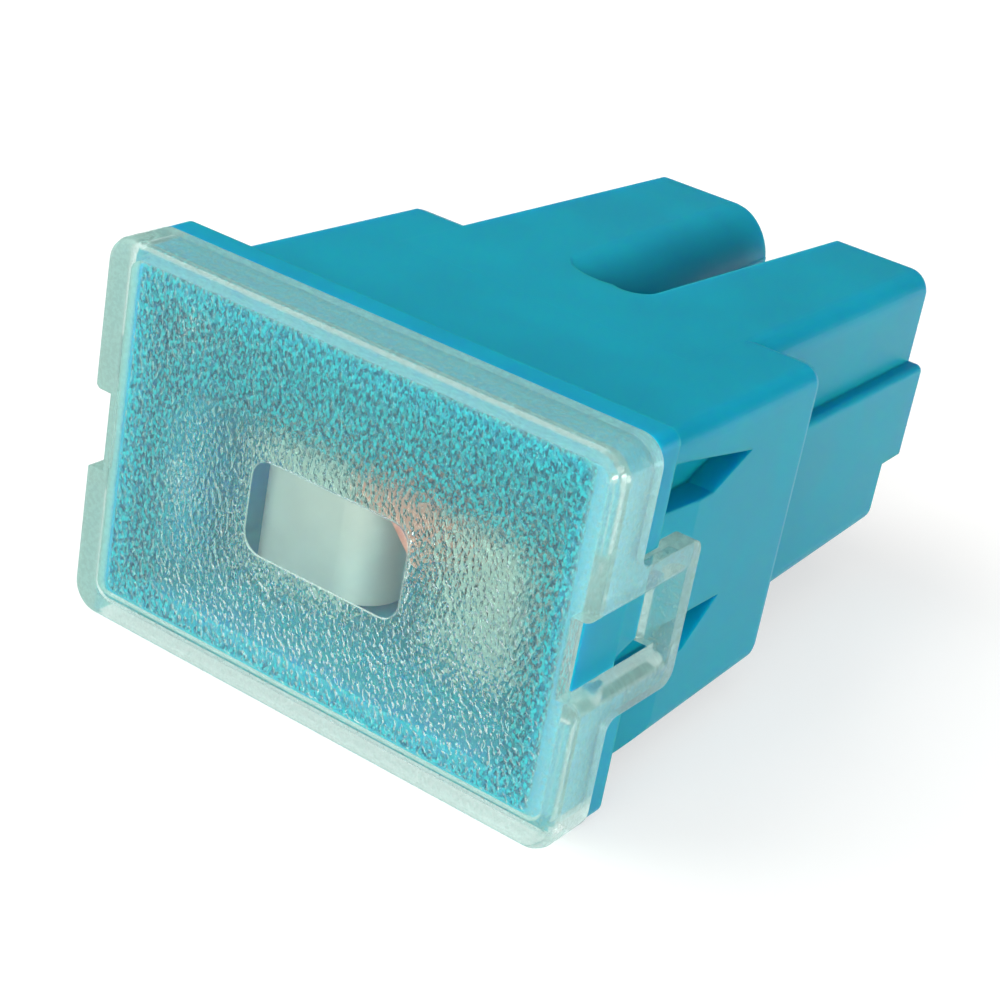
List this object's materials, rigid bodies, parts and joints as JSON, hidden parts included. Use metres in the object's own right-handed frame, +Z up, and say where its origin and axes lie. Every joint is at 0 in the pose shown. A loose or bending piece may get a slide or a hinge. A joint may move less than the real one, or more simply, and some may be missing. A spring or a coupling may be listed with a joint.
{
  "type": "female cartridge fuse",
  "caption": "Light blue plug-in female cartridge fuse (fusible link) with a clear clip-fit cover and two blade sockets.",
  "frame": {"origin": "middle of the footprint on the floor, under the middle of the overall box, with the fuse lying on its broad side", "axes": "+X across the two legs, +Y along the fuse towards the open leg ends (the way it plugs in), +Z up"},
  "size_m": [0.0216, 0.0308, 0.0146],
  "materials": {
    "housing_blue": "glossy",
    "cover_clear": "clear, frosted on the front plate",
    "tinned_metal": "dull tin plate",
    "slug_metal": "dull",
    "spring_steel": "satin"
  },
  "bodies": {
    "root": {"housing": "housing_blue", "cover": "cover_clear", "fuse_element": "tinned_metal", "tin_slug": "slug_metal", "contact_spring_left": "spring_steel", "contact_spring_right": "spring_steel"}
  },
  "joints": []
}
